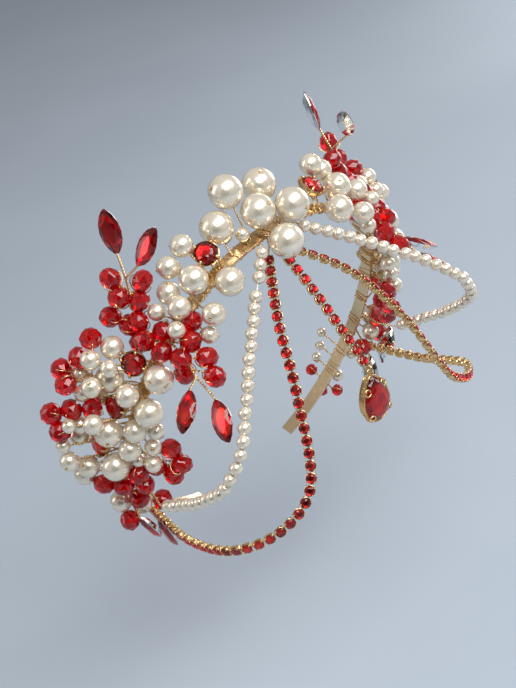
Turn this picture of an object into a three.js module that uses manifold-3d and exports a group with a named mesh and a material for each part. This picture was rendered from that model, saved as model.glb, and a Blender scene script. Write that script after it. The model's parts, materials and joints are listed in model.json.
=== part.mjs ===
// Bridal headband. A springy gilt band carries clusters of pearls and red crystal beads,
// claw-set round stones, pointed-oval stones on wire sprigs, two strings of small pearls,
// two swags of cup chain and a centre chain with a pear-shaped drop that swings.
// Millimetres, +Z up, the forehead towards -Y. The origin is the middle of the band's
// inner face, where it sits on the crown of the head.
import * as THREE from 'three';
import { mergeVertices } from 'three/addons/utils/BufferGeometryUtils.js';
import Module from 'manifold-3d';

const wasm = await Module();
wasm.setup();

// Driving dimensions
const BAND = { halfWidth: 62.4, halfHeight: 63.7, endDeg: 157, width: 5, thickness: 1.2, steps: 48 };
const WORN_TILT_DEG = 24;
const GAP = 0.35;
const WIRE = { radius: 0.45, sides: 4 };
const CRYSTAL = { size: 6.5, height: 5.2, flat: 3.2, sides: 10 };
const ROUND_STONE = { size: 8, collet: 9, lip: 0.4, foot: 5.2, depth: 3.4, crown: 1.7, table: 4.6, sides: 10 };
const NAVETTE = { length: 15, width: 7.2, belly: 0.85, crown: 1.5, table: 0.55, depth: 1.9, back: 0.7, points: 10, wireEnd: 0.1 };
const DROP = {
  length: 18, width: 13, waist: 0.32, rim: 0.6, crown: 2.4, table: 0.58, depth: 2, back: 0.75, points: 18,
  bite: 0.7, balance: 0.4,
};
const SETTING = { crown: 0.4, table: 1, depth: 3.2, back: 0.8 };
const EYE = { radius: 1.5, wire: 0.4, sides: 12, wireSides: 5 };
const PEARL_STRING = { radius: 2, steps: 18 };
const CUP_CHAIN = { radius: 1.6, steps: 22 };
const CENTRE_CHAIN = { radius: 1.6, steps: 10 };
const TUBE_SIDES = 8;
const SETTLE = { turns: 150, rate: 0.4, bandStepDeg: 2 };
// Sides and rings of a round bead, by the largest size that they serve
const BEAD_MESH = [
  { upTo: 10, sides: 10, rings: 5 },
  { upTo: 12, sides: 12, rings: 6 },
];

// Places on one side of the band: at is degrees along the band from the crown, round is
// degrees about the band from straight out (0) towards the forehead (90), and reach is
// millimetres out from the middle of the band's outer face. Both sides repeat each row.
const PEARLS = {
  upper: [
    { at: 25, round: -41, reach: 13, size: 8 },
    { at: 31, round: -45, reach: 13, size: 8 },
    { at: 30, round: -3, reach: 8, size: 10 },
    { at: 24, round: 65, reach: 9, size: 10 },
    { at: 36, round: -41, reach: 9, size: 8 },
    { at: 38, round: 13, reach: 9, size: 8 },
    { at: 34, round: 71, reach: 12, size: 8 },
  ],
  middle: [
    { at: 56, round: -39, reach: 15, size: 8 },
    { at: 64, round: -35, reach: 12, size: 10 },
    { at: 57, round: 52, reach: 10, size: 10 },
    { at: 65, round: 12, reach: 10, size: 8 },
    { at: 67, round: 52, reach: 10, size: 10 },
  ],
  lower: [
    { at: 78, round: -9, reach: 10, size: 10 },
    { at: 75, round: 44, reach: 9, size: 8 },
    { at: 81, round: 41, reach: 9, size: 8 },
    { at: 90, round: -23, reach: 14, size: 8 },
    { at: 88, round: 12, reach: 10, size: 10 },
    { at: 96, round: -31, reach: 16, size: 8 },
    { at: 107, round: 9, reach: 9, size: 8 },
  ],
};
const CRYSTALS = {
  rear_sprig: [
    { at: 42, round: -48, reach: 26 },
    { at: 44, round: -47, reach: 22 },
    { at: 38, round: -42, reach: 18 },
    { at: 42, round: -45, reach: 15 },
    { at: 50, round: -57, reach: 20 },
    { at: 47, round: -39, reach: 12 },
  ],
  front_sprig: [
    { at: 50, round: -4, reach: 9 },
    { at: 50, round: 36, reach: 9 },
    { at: 50, round: 64, reach: 12 },
    { at: 44, round: 72, reach: 10 },
    { at: 45, round: 86, reach: 17 },
    { at: 53, round: 78, reach: 15 },
    { at: 50, round: 88, reach: 24 },
  ],
  rear_edge: [
    { at: 67, round: -52, reach: 28 },
    { at: 62, round: -48, reach: 24 },
    { at: 68, round: -38, reach: 26 },
    { at: 76, round: -38, reach: 27 },
    { at: 75, round: -38, reach: 23 },
    { at: 80, round: -32, reach: 25 },
  ],
  lower: [
    { at: 82, round: 110, reach: 15 },
    { at: 87, round: 110, reach: 19 },
    { at: 92, round: 108, reach: 16 },
    { at: 91, round: 104, reach: 12 },
    { at: 97, round: -6, reach: 12 },
    { at: 96, round: 32, reach: 10 },
    { at: 98, round: 78, reach: 9 },
    { at: 104, round: 58, reach: 9 },
    { at: 114, round: 94, reach: 9 },
  ],
};
// The round stones' face column is the way each looks, in the same degrees as round
const ROUND_STONES = [
  { at: 22, round: -30, reach: 8, face: 20 },
  { at: 57, round: -13, reach: 9, face: 20 },
  { at: 71, round: -19, reach: 9, face: 0 },
  { at: 86, round: -35, reach: 11, face: -10 },
];
// Pointed-oval stones, from the wire's end to the far tip
const NAVETTES = [
  { base: { at: 36, round: -46, reach: 30 }, tip: { at: 31, round: -44, reach: 42 } },
  { base: { at: 36, round: -24, reach: 26 }, tip: { at: 28, round: -14, reach: 34 } },
  { base: { at: 55, round: 78, reach: 19 }, tip: { at: 63, round: 68, reach: 29 } },
  { base: { at: 53, round: 86, reach: 27 }, tip: { at: 60, round: 83, reach: 41 } },
  { base: { at: 107, round: 52, reach: 15 }, tip: { at: 118, round: 62, reach: 17 } },
  { base: { at: 118, round: 70, reach: 12 }, tip: { at: 128, round: 66, reach: 18 } },
];
// The crown's big pearls stand on both sides of the middle: at is negative towards -X
const CROWN_PEARLS = [
  { at: -8, round: -42, reach: 16, size: 12 },
  { at: 4, round: -48, reach: 14, size: 12 },
  { at: -3, round: -18, reach: 9, size: 12 },
  { at: 5, round: 18, reach: 9, size: 12 },
  { at: -16, round: -48, reach: 10, size: 12 },
  { at: -4, round: 80, reach: 9, size: 12 },
];

// Routes of the strands on the +X side, from the crown to the band behind the temple
const PEARL_ROUTE = [
  [9, -5.4, 1], [28, -20, -8.5], [45, -34, -18], [58, -45, -28],
  [65, -46, -40], [66.5, -38, -54], [66, -27, -67], [65, -17, -77.5],
];
const SWAG_ROUTE = [
  [4.2, -4.2, -6], [18.7, -23.2, -14.4], [28, -41.5, -28.7], [39, -60, -53],
  [52, -60, -63], [63.5, -51.5, -71], [64.8, -31, -84.5], [60.5, -8, -91.5],
];
const CENTRE_ROUTE = [[0, -4.6, -4], [0, -21, -12.2], [0, -36, -21.5], [0, -48.2, -29.6]];

const LOOKS = {
  gilt: { color: 0xd8ab5a, roughness: 0.28, metalness: 1 },
  pearl: { color: 0xf1e7d6, roughness: 0.22, metalness: 0.1 },
  red_glass: { color: 0xa8061a, roughness: 0.08, metalness: 0 },
};

const radians = THREE.MathUtils.degToRad;
const vector = (point) => new THREE.Vector3(...point);
const mirrored = (point, side) => new THREE.Vector3(side * point.x, point.y, point.z);

// The band's own curve: a point out from its inner face, and the way out at that angle
function outward(atDeg) {
  const t = radians(atDeg);
  return new THREE.Vector3(BAND.halfHeight * Math.sin(t), 0, BAND.halfWidth * Math.cos(t)).normalize();
}

function bandPoint(atDeg, out = 0) {
  const t = radians(atDeg);
  const inner = new THREE.Vector3(BAND.halfWidth * Math.sin(t), 0, -BAND.halfHeight * (1 - Math.cos(t)));
  return inner.addScaledVector(outward(atDeg), out);
}

function facing(atDeg, roundDeg) {
  const round = radians(roundDeg);
  return outward(atDeg).multiplyScalar(Math.cos(round)).add(new THREE.Vector3(0, -Math.sin(round), 0));
}

function placeOf({ at, round, reach }) {
  return bandPoint(at, BAND.thickness).addScaledVector(facing(at, round), reach);
}

// Closed solids are joined through their merged positions
function toSolid(geometry) {
  const bare = new THREE.BufferGeometry();
  bare.setAttribute('position', geometry.getAttribute('position').clone());
  bare.setIndex(geometry.getIndex());
  const merged = mergeVertices(bare, 1e-4);
  const index = merged.getIndex().array;
  const triVerts = [];
  for (let i = 0; i < index.length; i += 3) {
    const [a, b, c] = [index[i], index[i + 1], index[i + 2]];
    if (a !== b && b !== c && c !== a) triVerts.push(a, b, c);
  }
  return new wasm.Manifold(new wasm.Mesh({
    numProp: 3,
    vertProperties: new Float32Array(merged.getAttribute('position').array),
    triVerts: new Uint32Array(triVerts),
  }));
}

function fuse(geometries) {
  const joined = geometries.map(toSolid).reduce((body, next) => body.add(next)).getMesh();
  const geometry = new THREE.BufferGeometry();
  geometry.setAttribute('position', new THREE.BufferAttribute(joined.vertProperties, joined.numProp));
  geometry.setIndex(new THREE.BufferAttribute(joined.triVerts, 1));
  return geometry;
}

function aimed(geometry, direction, centre) {
  const turn = new THREE.Quaternion().setFromUnitVectors(new THREE.Vector3(0, 0, 1), direction);
  return geometry.applyQuaternion(turn).translate(centre.x, centre.y, centre.z);
}

function wire(from, to) {
  const run = to.clone().sub(from);
  const rod = new THREE.CylinderGeometry(WIRE.radius, WIRE.radius, run.length(), WIRE.sides).rotateX(Math.PI / 2);
  return aimed(rod, run.clone().normalize(), from.clone().addScaledVector(run, 0.5));
}

function pearlBead({ size, centre }) {
  const { sides, rings } = BEAD_MESH.find(({ upTo }) => size <= upTo);
  return new THREE.SphereGeometry(size / 2, sides, rings).translate(centre.x, centre.y, centre.z);
}

function crystalBead({ centre, direction }) {
  const { size, height, flat, sides } = CRYSTAL;
  const profile = [[0, -height / 2], [flat / 2, -height / 2], [size / 2, 0], [flat / 2, height / 2], [0, height / 2]];
  const bead = new THREE.LatheGeometry(profile.map(([x, y]) => new THREE.Vector2(x, y)), sides);
  return aimed(bead.rotateX(Math.PI / 2), direction, centre);
}

// A claw-set round stone: its collet, girdle and table turned in one profile
function roundStone({ centre, direction }) {
  const { size, collet, lip, foot, depth, crown, table, sides } = ROUND_STONE;
  const profile = [[0, -depth], [foot / 2, -depth], [collet / 2, 0], [size / 2, lip], [table / 2, crown], [0, crown]];
  const body = new THREE.LatheGeometry(profile.map(([x, y]) => new THREE.Vector2(x, y)), sides);
  return aimed(body.rotateX(Math.PI / 2), direction, centre);
}

// A cut stone: an outline at its girdle, drawn in to the table in front and the foil behind
function cutStone(outline, { crown, table, depth, back }) {
  const levels = [{ height: -depth, scale: back }, { height: 0, scale: 1 }, { height: crown, scale: table }];
  const count = outline.length;
  const positions = levels.flatMap(({ height, scale }) => outline.flatMap(([x, y]) => [x * scale, y * scale, height]));
  const index = [];
  for (let level = 0; level + 1 < levels.length; level += 1) {
    for (let i = 0; i < count; i += 1) {
      const [a, b] = [level * count + i, level * count + ((i + 1) % count)];
      index.push(a, b, b + count, a, b + count, a + count);
    }
  }
  const top = (levels.length - 1) * count;
  for (let i = 1; i + 1 < count; i += 1) {
    index.push(0, i + 1, i, top, top + i, top + i + 1);
  }
  const geometry = new THREE.BufferGeometry();
  geometry.setAttribute('position', new THREE.Float32BufferAttribute(positions, 3));
  geometry.setIndex(index);
  return geometry;
}

// Two equal arcs that meet in a point at each end, long way along Y
function navetteOutline({ length, width, belly, points }) {
  const half = points / 2;
  const side = (i) => {
    const turn = (Math.PI * i) / half;
    return [(width / 2) * Math.sin(turn) ** belly, -(length / 2) * Math.cos(turn)];
  };
  const right = Array.from({ length: half }, (_, i) => side(i));
  return [...right, ...right.map(([x, y]) => [-x, -y])];
}

// A pear with its point up: a circle whose upper half is drawn out and narrowed
function pearOutline({ length, width, waist, points }) {
  const low = width / 2 - length / 2;
  return Array.from({ length: points }, (_, i) => {
    const turn = Math.PI / 2 + (2 * Math.PI * i) / points;
    const [x, y] = [(width / 2) * Math.cos(turn), Math.sin(turn)];
    if (y <= 0) return [x, low + (width / 2) * y];
    return [x * (1 - waist * y * y), low + (length - width / 2) * y];
  });
}

function tube(route, { radius, steps }) {
  const ring = Array.from({ length: TUBE_SIDES }, (_, i) => (2 * Math.PI * i) / TUBE_SIDES);
  const section = new THREE.Shape(ring.map((turn) => new THREE.Vector2(radius * Math.cos(turn), radius * Math.sin(turn))));
  return new THREE.ExtrudeGeometry(section, { steps, extrudePath: new THREE.CatmullRomCurve3(route), bevelEnabled: false });
}

function bandSolid() {
  const angles = Array.from({ length: BAND.steps + 1 }, (_, i) => BAND.endDeg * ((2 * i) / BAND.steps - 1));
  const flat = (point) => new THREE.Vector2(point.x, point.z);
  const outer = angles.map((at) => flat(bandPoint(at, BAND.thickness)));
  const inner = angles.map((at) => flat(bandPoint(at)));
  const arch = new THREE.Shape([...outer, ...inner.reverse()]);
  return new THREE.ExtrudeGeometry(arch, { depth: BAND.width, bevelEnabled: false, curveSegments: 1 })
    .rotateX(Math.PI / 2).translate(0, BAND.width / 2, 0);
}

// Balls stand in for what a bead or a wire keeps clear of
const ball = (centre, radius, owner) => ({ centre, radius, owner });

function along(points, spacing, radius, owner) {
  const curve = new THREE.CatmullRomCurve3(points);
  const count = Math.ceil(curve.getLength() / spacing);
  return curve.getSpacedPoints(count).map((point) => ball(point, radius, owner));
}

function bandBalls() {
  const lanes = [-1, 0, 1].map((lane) => lane * (BAND.width / 2 - BAND.thickness / 2));
  const count = Math.floor((2 * BAND.endDeg) / SETTLE.bandStepDeg);
  const angles = Array.from({ length: count + 1 }, (_, i) => i * SETTLE.bandStepDeg - BAND.endDeg);
  return angles.flatMap((at) => lanes.map((y) => (
    ball(bandPoint(at, BAND.thickness / 2).setY(y), BAND.thickness * 0.6, 'band'))));
}

// Crowded beads push one another aside, and away from what is fixed, until none overlap
function settle(beads, fixed) {
  const push = (bead, other) => {
    const apart = bead.centre.clone().sub(other.centre);
    const need = bead.radius + other.radius + GAP - apart.length();
    return need > 0 ? apart.setLength(need) : null;
  };
  for (let turn = 0; turn < SETTLE.turns; turn += 1) {
    const moves = beads.map((bead) => {
      const move = new THREE.Vector3();
      for (const other of [...beads, ...fixed]) {
        const away = other === bead ? null : push(bead, other);
        if (away) move.add(away);
      }
      return move;
    });
    beads.forEach((bead, i) => bead.centre.addScaledVector(moves[i], SETTLE.rate));
  }
}

// How far a wire can run from one point towards another before it comes near something
function clearRun(from, to, radius, blocks) {
  const run = to.clone().sub(from);
  const length = run.length();
  run.normalize();
  let clear = length;
  for (const block of blocks) {
    const toBlock = block.centre.clone().sub(from);
    const nearest = toBlock.dot(run);
    const reach = block.radius + radius + GAP;
    const off = toBlock.lengthSq() - nearest * nearest;
    if (off < reach * reach) {
      const entry = nearest - Math.sqrt(reach * reach - off);
      if (nearest > 0 && entry < clear) clear = entry;
    }
  }
  return clear;
}

// The band's nearest outer point to a place
function nearestOnBand(place) {
  const t = Math.atan2(place.x / BAND.halfWidth, 1 + place.z / BAND.halfHeight);
  const half = BAND.width / 2 - WIRE.radius;
  return bandPoint(THREE.MathUtils.radToDeg(t), BAND.thickness).setY(THREE.MathUtils.clamp(place.y, -half, half));
}

// The wearer's own left and right
const SIDES = [{ name: 'left', sign: 1 }, { name: 'right', sign: -1 }];

function beadAt(row, sign, owner) {
  const size = row.size ?? CRYSTAL.size;
  const centre = mirrored(placeOf(row), sign);
  return { owner, size, radius: size / 2, centre, direction: mirrored(facing(row.at, row.round), sign) };
}

function fieldsOf(table, kind, look, solid) {
  return SIDES.flatMap(({ name, sign }) => Object.entries(table).map(([part, rows]) => {
    const owner = `${name}_${kind}_${part}`;
    return { owner, look, solid, members: rows.map((row) => beadAt(row, sign, owner)) };
  }));
}

const crownPearls = CROWN_PEARLS.map((row, i) => beadAt(row, 1, `crown_pearl_${i + 1}`));
const fields = [
  ...fieldsOf(PEARLS, 'pearls', 'pearl', pearlBead),
  ...fieldsOf(CRYSTALS, 'crystals', 'red_glass', crystalBead),
];
const beads = [...crownPearls, ...fields.flatMap(({ members }) => members)];

const roundStones = SIDES.flatMap(({ name, sign }) => ROUND_STONES.map((row, i) => ({
  owner: `${name}_round_stone_${i + 1}`,
  centre: mirrored(placeOf(row), sign),
  direction: mirrored(facing(row.at, row.face), sign),
})));

const navettes = SIDES.flatMap(({ name, sign }) => NAVETTES.map(({ base, tip }, i) => ({
  owner: `${name}_navette_${i + 1}`,
  base: mirrored(placeOf(base), sign),
  tip: mirrored(placeOf(tip), sign),
  front: mirrored(outward(base.at), sign),
})));

const routed = (points, sign) => points.map((point) => mirrored(vector(point), sign));
const strands = [
  { owner: 'centre_chain', look: 'red_glass', size: CENTRE_CHAIN, route: routed(CENTRE_ROUTE, 1) },
  ...SIDES.flatMap(({ name, sign }) => [
    { owner: `${name}_pearl_string`, look: 'pearl', size: PEARL_STRING, route: routed(PEARL_ROUTE, sign) },
    { owner: `${name}_swag_chain`, look: 'red_glass', size: CUP_CHAIN, route: routed(SWAG_ROUTE, sign) },
  ]),
];

// What stays put while the beads settle round it
const fixed = [
  ...bandBalls(),
  ...roundStones.map(({ centre, direction, owner }) => (
    ball(centre.clone().addScaledVector(direction, -ROUND_STONE.depth / 4), ROUND_STONE.collet / 2, owner))),
  ...navettes.flatMap(({ base, tip, owner }) => along([base, tip], NAVETTE.width / 2, NAVETTE.width / 2, owner)),
  ...strands.flatMap(({ route, size, owner }) => along(route, size.radius, size.radius, owner)),
];
settle(beads, fixed);

// What a wire has to miss, which grows as the wires are drawn
const blocks = [...fixed, ...beads.map(({ centre, radius, owner }) => ball(centre, radius, owner))];
const others = (owner) => blocks.filter((block) => block.owner !== owner);

function drawWire(from, to, owner) {
  blocks.push(...along([from, to], 2 * WIRE.radius, WIRE.radius, owner));
  return wire(from, to);
}

// A wire out of a piece towards a goal, stopped short of whatever it meets first
function reachOut(from, goal, owner, buried) {
  const clear = clearRun(from, goal, WIRE.radius, others(owner));
  if (clear < buried + WIRE.radius) return [];
  return [drawWire(from, from.clone().lerp(goal, clear / from.distanceTo(goal)), owner)];
}

const offBand = ({ centre }) => centre.distanceTo(nearestOnBand(centre));
const tie = (from, owner, buried) => reachOut(from, nearestOnBand(from), owner, buried);

// A field's beads, each wired to its nearest neighbour that a straight wire can get to
function wireUp({ owner, members }) {
  const group = members.map((_, i) => i);
  const wires = [];
  const pairs = members.flatMap((from, i) => members.slice(i + 1).map((to, j) => (
    { i, j: i + 1 + j, from: from.centre, to: to.centre, length: from.centre.distanceTo(to.centre) })));
  pairs.sort((a, b) => a.length - b.length);
  for (const { i, j, from, to, length } of pairs) {
    if (group[i] !== group[j] && clearRun(from, to, WIRE.radius, others(owner)) >= length) {
      wires.push(drawWire(from, to, owner));
      const [kept, gone] = [group[i], group[j]];
      group.forEach((value, k) => { if (value === gone) group[k] = kept; });
    }
  }
  return wires;
}

// A pointed-oval stone with its front turned out from the band
function navetteStone({ base, tip, front }) {
  const long = tip.clone().sub(base).normalize();
  const across = long.clone().cross(front).normalize();
  const frame = new THREE.Matrix4().makeBasis(across, long, across.clone().cross(long));
  frame.setPosition(base.clone().lerp(tip, 0.5));
  return cutStone(navetteOutline(NAVETTE), NAVETTE).applyMatrix4(frame);
}

function nearestBead(place, choice) {
  return choice.reduce((best, bead) => (bead.centre.distanceTo(place) < best.centre.distanceTo(place) ? bead : best));
}

// The eye that ends the centre chain, its hole along X
const [beforeLast, last] = routed(CENTRE_ROUTE.slice(-2), 1);
const heading = last.clone().sub(beforeLast).normalize();
const eyeCentre = last.clone().addScaledVector(heading, EYE.radius);

function eye() {
  return new THREE.TorusGeometry(EYE.radius, EYE.wire, EYE.wireSides, EYE.sides)
    .rotateY(Math.PI / 2).translate(eyeCentre.x, eyeCentre.y, eyeCentre.z);
}

// The drop about its pivot: a ring through the eye, and a cut pear in its setting
function pearDrop() {
  const { length, width, rim, bite, balance } = DROP;
  const ring = new THREE.TorusGeometry(EYE.radius, EYE.wire, EYE.wireSides, EYE.sides)
    .rotateX(Math.PI / 2).translate(0, 0, -EYE.radius);
  const stone = cutStone(pearOutline({ ...DROP, length: length - 2 * rim, width: width - 2 * rim }), DROP);
  const setting = cutStone(pearOutline(DROP), SETTING);
  const hung = -2 * EYE.radius - length / 2 + bite;
  return [ring, ...[stone, setting].map((piece) => piece.rotateX(Math.PI / 2).translate(0, -balance, hung))];
}

const headband = new THREE.Group();
const worn = new THREE.Group();
worn.rotation.x = radians(WORN_TILT_DEG);
headband.add(worn);

function add(group, name, look, pieces) {
  const mesh = new THREE.Mesh(fuse(pieces), new THREE.MeshStandardMaterial(LOOKS[look]));
  mesh.name = name;
  group.add(mesh);
  return mesh;
}

add(worn, 'band', 'gilt', [bandSolid()]);
for (const { owner, look, size, route } of strands) {
  const ends = owner === 'centre_chain' ? [route[0]] : [route[0], route.at(-1)];
  const ties = ends.flatMap((end) => tie(end, owner, size.radius));
  add(worn, owner, look, [tube(route, size), ...ties, ...(owner === 'centre_chain' ? [eye()] : [])]);
}
for (const bead of crownPearls) {
  add(worn, bead.owner, 'pearl', [pearlBead(bead), ...tie(bead.centre, bead.owner, bead.radius)]);
}
for (const stone of roundStones) {
  add(worn, stone.owner, 'red_glass', [roundStone(stone), ...tie(stone.centre, stone.owner, ROUND_STONE.collet / 2)]);
}
for (const field of fields) {
  const wires = wireUp(field);
  const inmost = field.members.reduce((best, bead) => (offBand(bead) < offBand(best) ? bead : best));
  const ties = tie(inmost.centre, field.owner, inmost.radius);
  add(worn, field.owner, field.look, [...field.members.map(field.solid), ...wires, ...ties]);
}
for (const navette of navettes) {
  const side = navette.owner.split('_')[0];
  const crystals = beads.filter(({ owner }) => owner.startsWith(`${side}_crystals`));
  const start = navette.base.clone().lerp(navette.tip, NAVETTE.wireEnd);
  const stem = reachOut(start, nearestBead(navette.base, crystals).centre, navette.owner, WIRE.radius);
  add(worn, navette.owner, 'red_glass', [navetteStone(navette), ...stem]);
}

const drop = add(headband, 'pear_drop', 'red_glass', pearDrop());
drop.position.copy(eyeCentre).applyEuler(worn.rotation);

export default headband;
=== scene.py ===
import json
import math

import bpy
import numpy as np
from mathutils import Matrix, Vector


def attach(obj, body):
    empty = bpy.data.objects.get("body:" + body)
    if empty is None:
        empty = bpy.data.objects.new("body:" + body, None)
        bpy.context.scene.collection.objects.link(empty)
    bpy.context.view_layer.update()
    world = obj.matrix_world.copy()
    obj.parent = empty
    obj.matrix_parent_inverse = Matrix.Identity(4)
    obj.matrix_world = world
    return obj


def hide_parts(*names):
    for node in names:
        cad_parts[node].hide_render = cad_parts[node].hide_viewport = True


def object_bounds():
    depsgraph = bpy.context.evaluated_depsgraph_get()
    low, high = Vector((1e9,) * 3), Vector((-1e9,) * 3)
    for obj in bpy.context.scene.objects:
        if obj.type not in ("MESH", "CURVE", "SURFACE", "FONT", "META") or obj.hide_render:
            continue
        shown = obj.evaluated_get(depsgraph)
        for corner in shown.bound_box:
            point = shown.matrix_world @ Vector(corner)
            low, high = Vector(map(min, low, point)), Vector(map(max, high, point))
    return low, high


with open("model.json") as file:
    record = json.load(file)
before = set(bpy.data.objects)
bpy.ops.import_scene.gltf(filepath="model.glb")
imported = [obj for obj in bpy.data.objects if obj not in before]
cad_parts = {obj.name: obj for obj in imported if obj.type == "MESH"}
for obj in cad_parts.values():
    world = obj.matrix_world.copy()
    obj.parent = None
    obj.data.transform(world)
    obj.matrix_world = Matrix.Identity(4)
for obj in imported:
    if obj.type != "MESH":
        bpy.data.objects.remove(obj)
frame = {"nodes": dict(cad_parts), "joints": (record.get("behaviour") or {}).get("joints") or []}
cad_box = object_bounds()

# Bridal headband: the looks. Millimetres and degrees up to the point where a mesh is made,
# in the band's own upright frame, which is then tilted forward as the band is worn.
MM = 0.001
BAND = {"half_width": 62.4, "half_height": 63.7, "end": 157, "width": 5.0, "thickness": 1.2}
WORN_TILT = 24
GAP = 0.35
EDGE_EASE = 0.25
PEARL_HOLE = {"least": 0.42, "share": 0.055, "lip": 1.35, "taper": 0.92, "sunk": (0.06, 0.6, 0.7)}
CRYSTAL = {"core": 6.5, "size": 7.8, "height": 6.2, "sides": 9, "clear": 3.45}
ROUND_STONE = {"size": 8.0, "collet": 9.0, "depth": 3.4, "lift": 0.42, "knot": 0.7}
NAVETTE = {
    "length": 15.6, "width": 7.6, "point": 1.45, "ball": 3.6, "deep": 2.6, "lift": 1.3,
    "tang": 1.5, "tang_drop": 0.6, "bend": 0.5, "stem": 1.15,
}
DROP = {
    "length": 18.0, "width": 13.0, "waist": 0.32, "rim": 0.6, "bite": 0.7, "balance": 0.4,
    "deep": 3.6, "lift": 2.2, "post": 0.22, "ring": 1.2, "ring_wire": 0.32, "ring_lean": 0.05, "leg": 0.42,
}
EYE = {"radius": 1.5, "wire": 0.4, "steps": 33, "sides": 8}
PEARL_STRING = {
    "radius": 2.0, "size": 4.5, "gap_after": 3, "gap": 2.6,
    "stray": 0.12, "least": 0.96, "most": 1.03, "fine": (24, 14), "thread": 0.3, "steps": 600, "every": 6,
}
CUP_CHAIN = {
    "radius": 1.6, "pitch": 4.15, "stone": 3.5, "cup": 3.9, "depth": 2.1, "lift": 0.3, "bar": 0.42,
}
SETTLE = {"turns": 150, "rate": 0.4, "band_step": 2, "band_ball": 0.6}
WIRE = {"radius": 0.2, "pitch": 2.1, "sides": 5, "steps": 6, "shortest": 0.5, "stem": 1.25}
BEAD = {
    "lean": 0.75, "stray": 0.3, "stop": 0.05, "inside": 0.8, "outside": 0.25, "sag": 0.4,
    "large": 11, "fine": (48, 30), "plain": (32, 20), "arc_steps": 14,
}
CURL = {"radius": 0.42, "half_turns": 1.8, "low": -0.25, "high": 0.12, "steps": 12}
WINDING = {"wire": 0.17, "sides": 5, "steps": 16, "stray": 0.6}
SEEDS = {"beads": 7, "windings": 11, "strings": 3}
SPLINE_STEPS = 40
MEASURE_STEPS = 200
BAND_STEPS = 161
STEM_STEPS = 40
STEM_EVERY = 3
TIED_BEFORE = 7
CLAW_STEPS = 10
COLLET_SIDES = 20
BAR_STEPS = 6
DROP_STEPS = 73
LEG_STEPS = 8
CENTRE_TIE_BULGE = 0.4
# A slanted direction that no wire or stone faces, to measure side directions from
SLANT = (0.31, 0.83, 0.46)
HEAD_CENTRE = np.array([0.0, 10.0, -60.0])
SWAG_CENTRE = np.array([0.0, -36.0, -64.0])
EYE_CENTRE = np.array([0.0, -49.45, -30.43])
SIDES = {"left": 1, "right": -1}

# The photograph's camera about the worn headband: degrees and millimetres, near limit in metres
CAMERA = {
    "azimuth": -38.34, "elevation": 27.91, "roll": -15.24, "distance": 507.9,
    "aim": (-2.75, 18.53, -47.81), "lens": 73.3, "sensor": 36, "near": 0.01,
}

# Soft boxes: name, direction as right, up and back of the camera, metres away, size and power
LIGHTS = [
    ("key", (0.22, 0.62, 0.75), 0.85, (0.9, 0.5), 9),
    ("side", (-0.9, 0.2, 0.25), 0.9, (0.3, 0.7), 1.2),
    ("rim", (0.55, 0.6, -0.6), 0.9, (0.6, 0.4), 2.2),
]
ROOM = {
    "pale": (0.66, 0.66, 0.67), "dark": (0.01, 0.01, 0.01), "fade": (0.84, 0.95), "low": 0.25,
    "strength": 0.56,
}
FLOOR = {"half": 3.0, "below": 0.06}

# Places on one side of the band: degrees along it from the crown, degrees about it from
# straight out towards the forehead, millimetres out from its face, and a pearl's size
PEARLS = {
    "upper": [
        (25, -41, 13, 8), (31, -45, 13, 8), (30, -3, 8, 10), (24, 65, 9, 10),
        (36, -41, 9, 8), (38, 13, 9, 8), (34, 71, 12, 8),
    ],
    "middle": [
        (56, -39, 15, 8), (64, -35, 12, 10), (57, 52, 10, 10), (65, 12, 10, 8), (67, 52, 10, 10),
    ],
    "lower": [
        (78, -9, 10, 10), (75, 44, 9, 8), (81, 41, 9, 8), (90, -23, 14, 8),
        (88, 12, 10, 10), (96, -31, 16, 8), (107, 9, 9, 8),
    ],
}
SMALL_PEARLS = {
    "upper": [(42, -38, 10, 6), (43, 35, 10, 6), (39, 73, 10, 6)],
    "middle": [
        (59, -36, 20, 7), (60, -28, 17, 6), (66, -48, 22, 6),
        (69, -40, 20, 6), (65, -24, 18, 7), (72, -45, 13, 6),
    ],
    "lower": [
        (74, -16, 17, 7), (75, 85, 10, 6), (80, 85, 11, 6), (77, -34, 20, 6),
        (78, -30, 23, 5), (84, -38, 18, 7), (83, -30, 23, 5), (87, -27, 19, 7),
        (85, 79, 12, 6), (86, 62, 9, 5), (108, 42, 9, 7),
    ],
}
CRYSTALS = {
    "rear_sprig": [
        (42, -48, 26), (44, -47, 22), (38, -42, 18), (42, -45, 15), (50, -57, 20), (47, -39, 12),
    ],
    "front_sprig": [
        (50, -4, 9), (50, 36, 9), (50, 64, 12), (44, 72, 10), (45, 86, 17), (53, 78, 15), (50, 88, 24),
    ],
    "rear_edge": [
        (67, -52, 28), (62, -48, 24), (68, -38, 26), (76, -38, 27), (75, -38, 23), (80, -32, 25),
    ],
    "lower": [
        (82, 110, 15), (87, 110, 19), (92, 108, 16), (91, 104, 12), (97, -6, 12),
        (96, 32, 10), (98, 78, 9), (104, 58, 9), (114, 94, 9),
    ],
}
SMALL_CRYSTALS = {
    "rear_sprig": [(50, -58, 15), (52, -58, 9)],
    "front_sprig": [(47, 2, 7), (39, 48, 6)],
    "rear_edge": [(57, -41, 21), (74, -36, 18)],
    "lower": [(89, 46, 9), (110, 50, 14)],
}
# A few last beads lower on the band, which show on the left side alone
TAIL_PEARLS = {
    "tail": [(120, -80, 13, 4), (124, -85, 10, 4), (129, -75, 10, 4), (130, 20, 5, 5), (121, 20, 6, 5)],
}
TAIL_CRYSTALS = {"tail": [(133, -75, 9), (137, -2, 6), (135, 30, 7)]}
TAIL_SCALE = 0.65
# Round stones: their places, and the degrees about the band that each one faces
ROUND_STONES = [
    {"at": 22, "round": -30, "reach": 8, "face": 12},
    {"at": 57, "round": -13, "reach": 9, "face": 20},
    {"at": 71, "round": -19, "reach": 9, "face": 0},
    {"at": 86, "round": -35, "reach": 11, "face": -10},
]
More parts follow.
